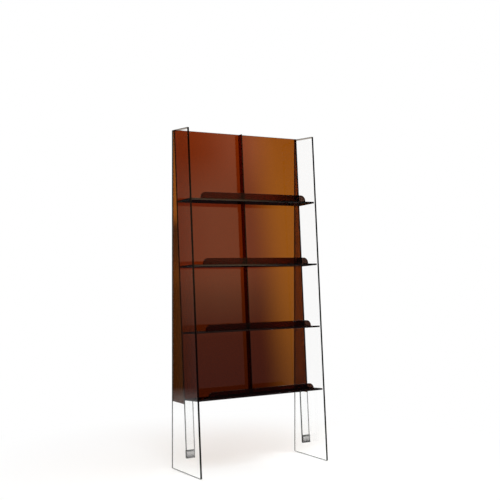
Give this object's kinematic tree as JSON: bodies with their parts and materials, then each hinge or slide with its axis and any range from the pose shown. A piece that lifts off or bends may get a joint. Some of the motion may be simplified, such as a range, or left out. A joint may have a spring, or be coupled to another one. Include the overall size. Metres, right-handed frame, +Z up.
{
  "type": "periodical display rack",
  "caption": "Tall free-standing glass rack with clear side panels, a raked amber back and amber shelves with stop lips that show periodicals face out.",
  "frame": {"origin": "floor level, in the middle of the footprint", "axes": "+X to the right as seen from the front, +Y to the rear, +Z up"},
  "size_m": [0.9, 0.3393, 2],
  "materials": {
    "clear_glass": "clear float glass, flat, polished arrised edges",
    "amber_glass": "amber tinted glass, flat, polished arrised edges",
    "glide_plastic": "soft translucent pad, satin"
  },
  "bodies": {
    "root": {"back_sheet": "amber_glass", "side_panel_left": "clear_glass", "back_return_left": "amber_glass", "back_leg_left": "clear_glass", "leg_shoe_left": "clear_glass", "side_panel_right": "clear_glass", "back_return_right": "amber_glass", "back_leg_right": "clear_glass", "leg_shoe_right": "clear_glass", "shelf_1": "amber_glass", "shelf_lip_1": "amber_glass", "divider_1": "amber_glass", "shelf_2": "amber_glass", "shelf_lip_2": "amber_glass", "divider_2": "amber_glass", "shelf_3": "amber_glass", "shelf_lip_3": "amber_glass", "divider_3": "amber_glass", "shelf_4": "amber_glass", "shelf_lip_4": "amber_glass", "divider_4": "amber_glass", "floor_glides": "glide_plastic"}
  },
  "joints": []
}
